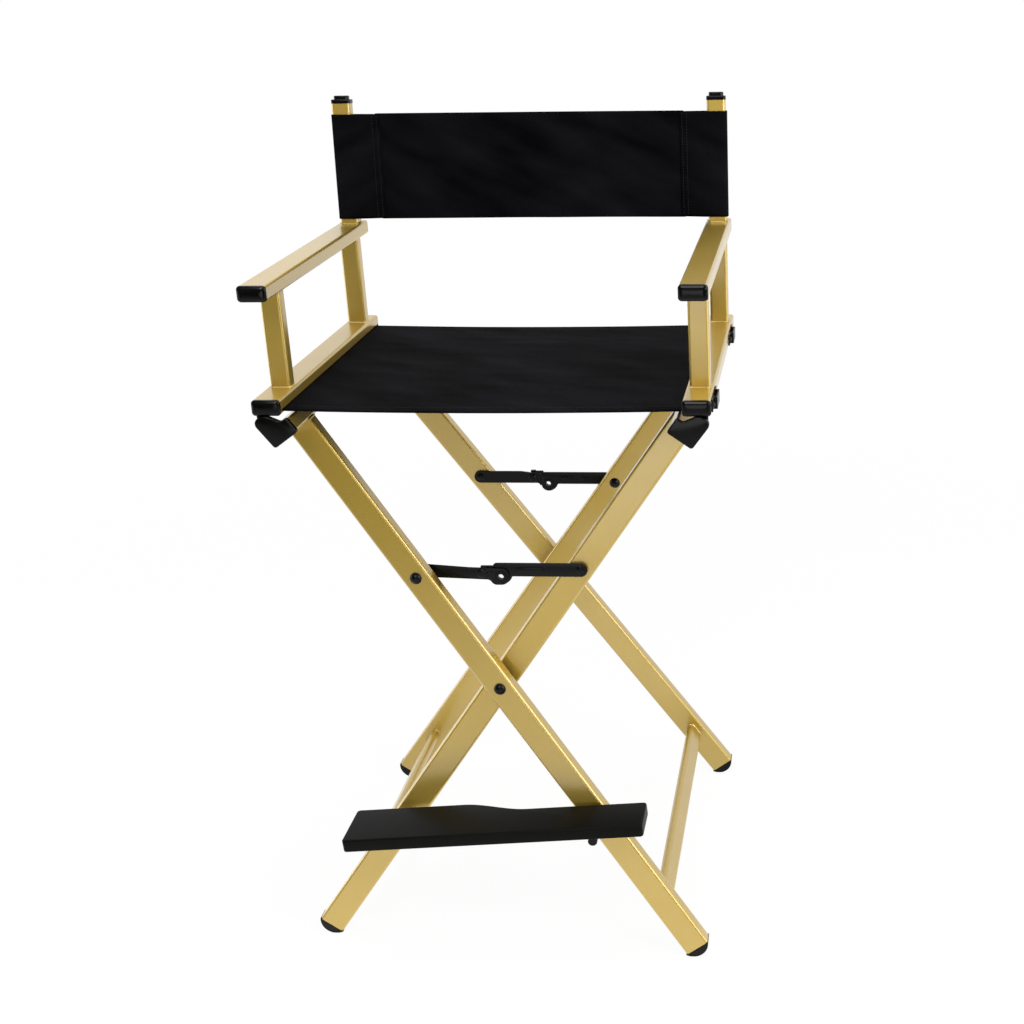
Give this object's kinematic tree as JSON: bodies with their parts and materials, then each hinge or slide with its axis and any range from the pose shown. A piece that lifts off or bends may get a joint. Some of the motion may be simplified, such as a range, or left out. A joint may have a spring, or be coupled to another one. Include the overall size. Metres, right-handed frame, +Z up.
{
  "type": "tall folding chair",
  "caption": "Tall cross-legged folding chair: canvas seat and back slung between tube side frames with arms, locking braces and a swinging footrest board",
  "frame": {"origin": "on the floor, under the middle of the bounding box", "axes": "+X to the right as seen from the front, +Y to the rear, +Z up"},
  "size_m": [0.617, 0.5736, 1.1555],
  "materials": {
    "gold_tube": "satin gold anodised extrusion",
    "black_fittings": "moulded black nylon with a soft sheen",
    "black_steel": "steel with a black oxide finish",
    "canvas": "heavy black cotton canvas, plain weave",
    "footrest_finish": "solid board with a smooth black satin coat"
  },
  "bodies": {
    "outer_legs": {"outer_front_leg": "gold_tube", "outer_rear_leg": "gold_tube", "outer_leg_rail": "gold_tube", "outer_stretcher": "gold_tube", "outer_feet": "black_fittings", "outer_hinge_caps": "black_fittings", "left_hinge_pins": "black_steel", "crossing_bolts": "black_steel", "outer_brace_bolts": "black_steel", "footrest_peg": "black_steel"},
    "inner_legs": {"inner_front_leg": "gold_tube", "inner_rear_leg": "gold_tube", "inner_leg_rail": "gold_tube", "inner_stretcher": "gold_tube", "inner_feet": "black_fittings", "inner_hinge_caps": "black_fittings", "right_hinge_pins": "black_steel", "crossing_spacers": "black_fittings", "inner_brace_bolts": "black_steel", "footrest_pivot_bolt": "black_steel"},
    "left_side_frame": {"left_seat_rail": "gold_tube", "left_armrest": "gold_tube", "left_front_upright": "gold_tube", "left_rear_upright": "gold_tube", "left_back_post": "gold_tube", "left_post_cap": "black_fittings", "left_armrest_cap": "black_fittings", "left_seat_rail_cap": "black_fittings", "left_rear_plugs": "black_fittings", "left_hinge_ears": "black_steel", "left_seat_rod": "black_steel", "seat_sling": "canvas", "back_sling": "canvas"},
    "right_side_frame": {"right_seat_rail": "gold_tube", "right_armrest": "gold_tube", "right_front_upright": "gold_tube", "right_rear_upright": "gold_tube", "right_back_post": "gold_tube", "right_post_cap": "black_fittings", "right_armrest_cap": "black_fittings", "right_seat_rail_cap": "black_fittings", "right_rear_plugs": "black_fittings", "right_hinge_ears": "black_steel", "right_seat_rod": "black_steel", "right_table_brackets": "black_steel", "right_bracket_screws": "black_steel"},
    "front_left_brace": {"front_left_brace_bar": "black_steel", "front_left_eyelet": "black_steel"},
    "front_right_brace": {"front_right_brace_bar": "black_steel", "front_right_eyelet": "black_steel"},
    "rear_left_brace": {"rear_left_brace_bar": "black_steel", "rear_left_eyelet": "black_steel"},
    "rear_right_brace": {"rear_right_brace_bar": "black_steel", "rear_right_eyelet": "black_steel"},
    "footrest": {"footrest_board": "footrest_finish", "footrest_bracket": "black_steel", "footrest_screws": "black_steel"}
  },
  "joints": [
    {"name": "frame_fold", "type": "hinge", "parent": "outer_legs", "child": "inner_legs", "pos_m": [0, 0.03327, 0.391], "axis": [0, -1, 0], "range_deg": [0, 51.43], "deforming": ["seat_sling", "back_sling"]},
    {"name": "left_seat_fold", "type": "hinge", "parent": "outer_legs", "child": "left_side_frame", "pos_m": [-0.293, 0.04984, 0.778], "axis": [0, -1, 0], "range_deg": [0, 25.77]},
    {"name": "right_seat_fold", "type": "hinge", "parent": "inner_legs", "child": "right_side_frame", "pos_m": [0.293, 0.04984, 0.778], "axis": [0, -1, 0], "range_deg": [-25.77, 0]},
    {"name": "front_left_brace_fold", "type": "hinge", "parent": "outer_legs", "child": "front_left_brace", "pos_m": [-0.11207, -0.13362, 0.5469], "axis": [0, -1, 0], "range_deg": [0, 103.37]},
    {"name": "front_right_brace_fold", "type": "hinge", "parent": "inner_legs", "child": "front_right_brace", "pos_m": [0.11207, -0.13102, 0.5469], "axis": [0, -1, 0], "range_deg": [-103.37, 0]},
    {"name": "rear_left_brace_fold", "type": "hinge", "parent": "outer_legs", "child": "rear_left_brace", "pos_m": [-0.11207, 0.24694, 0.5469], "axis": [0, -1, 0], "range_deg": [0, 103.37]},
    {"name": "rear_right_brace_fold", "type": "hinge", "parent": "inner_legs", "child": "rear_right_brace", "pos_m": [0.11207, 0.24274, 0.5469], "axis": [0, -1, 0], "range_deg": [-103.37, 0]},
    {"name": "footrest_swing", "type": "hinge", "parent": "inner_legs", "child": "footrest", "pos_m": [-0.15294, -0.25684, 0.17827], "axis": [0, -1, 0], "range_deg": [0, 49.81]}
  ],
  "couplings": [
    {"joint": "left_seat_fold", "follows": "frame_fold", "ratio": 0.5},
    {"joint": "right_seat_fold", "follows": "frame_fold", "ratio": -0.5},
    {"joint": "front_left_brace_fold", "follows": "frame_fold", "ratio": 2.009},
    {"joint": "front_right_brace_fold", "follows": "frame_fold", "ratio": -2.009},
    {"joint": "rear_left_brace_fold", "follows": "frame_fold", "ratio": 2.009},
    {"joint": "rear_right_brace_fold", "follows": "frame_fold", "ratio": -2.009},
    {"joint": "footrest_swing", "follows": "frame_fold", "ratio": 0.9675}
  ]
}
